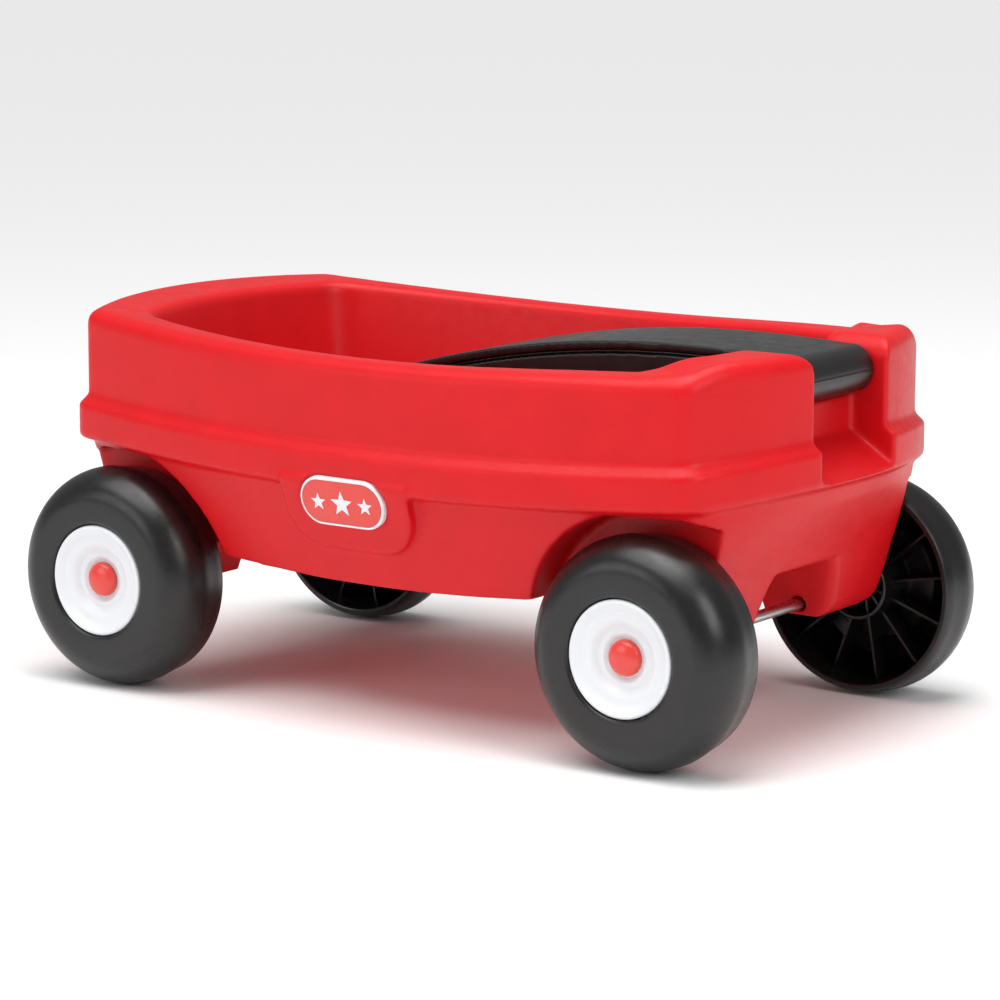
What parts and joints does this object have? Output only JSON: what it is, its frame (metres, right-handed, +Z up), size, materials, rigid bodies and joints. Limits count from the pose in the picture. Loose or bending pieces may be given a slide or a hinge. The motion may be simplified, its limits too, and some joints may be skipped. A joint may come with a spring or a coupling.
{
  "type": "pull wagon",
  "caption": "Small moulded plastic pull wagon for children with a double-walled tub, free-rolling wheels on steel axles and a flat handle that folds back into the tub.",
  "frame": {"origin": "on the ground under the middle of the tub", "axes": "+X towards the handle (front), +Y to the left side, +Z up"},
  "size_m": [0.5972, 0.3642, 0.2675],
  "materials": {
    "red_plastic": "satin rotationally moulded polyethylene with a fine grain",
    "black_plastic": "satin moulded plastic",
    "white_plastic": "smooth semi-gloss",
    "bright_red_plastic": "smooth semi-gloss",
    "badge_print": "smooth printed plastic",
    "steel": "bright zinc-plated rod"
  },
  "bodies": {
    "wagon": {"wagon_tub": "red_plastic", "handle_pivot_rod": "steel", "axle_front": "steel", "axle_rear": "steel", "axle_cap_front_left": "bright_red_plastic", "axle_cap_front_right": "bright_red_plastic", "axle_cap_rear_left": "bright_red_plastic", "axle_cap_rear_right": "bright_red_plastic", "push_nut_front_left": "steel", "push_nut_front_right": "steel", "push_nut_rear_left": "steel", "push_nut_rear_right": "steel", "badge_plate_left": "white_plastic", "badge_face_left": "badge_print", "badge_plate_right": "white_plastic", "badge_face_right": "badge_print"},
    "handle": {"pull_handle": "black_plastic"},
    "wheel_front_left": {"wheel_front_left": "black_plastic", "hub_disc_front_left": "white_plastic"},
    "wheel_front_right": {"wheel_front_right": "black_plastic", "hub_disc_front_right": "white_plastic"},
    "wheel_rear_left": {"wheel_rear_left": "black_plastic", "hub_disc_rear_left": "white_plastic"},
    "wheel_rear_right": {"wheel_rear_right": "black_plastic", "hub_disc_rear_right": "white_plastic"}
  },
  "joints": [
    {"name": "handle_fold", "type": "hinge", "parent": "wagon", "child": "handle", "pos_m": [0.2633, 0, 0.2458], "axis": [0, 1, 0], "range_deg": [0, 210]},
    {"name": "wheel_front_left_spin", "type": "hinge", "parent": "wagon", "child": "wheel_front_left", "pos_m": [0.2206, 0.149, 0.078], "axis": [0, 1, 0], "continuous": true},
    {"name": "wheel_front_right_spin", "type": "hinge", "parent": "wagon", "child": "wheel_front_right", "pos_m": [0.2206, -0.149, 0.078], "axis": [0, 1, 0], "continuous": true},
    {"name": "wheel_rear_left_spin", "type": "hinge", "parent": "wagon", "child": "wheel_rear_left", "pos_m": [-0.2206, 0.149, 0.078], "axis": [0, 1, 0], "continuous": true},
    {"name": "wheel_rear_right_spin", "type": "hinge", "parent": "wagon", "child": "wheel_rear_right", "pos_m": [-0.2206, -0.149, 0.078], "axis": [0, 1, 0], "continuous": true}
  ]
}
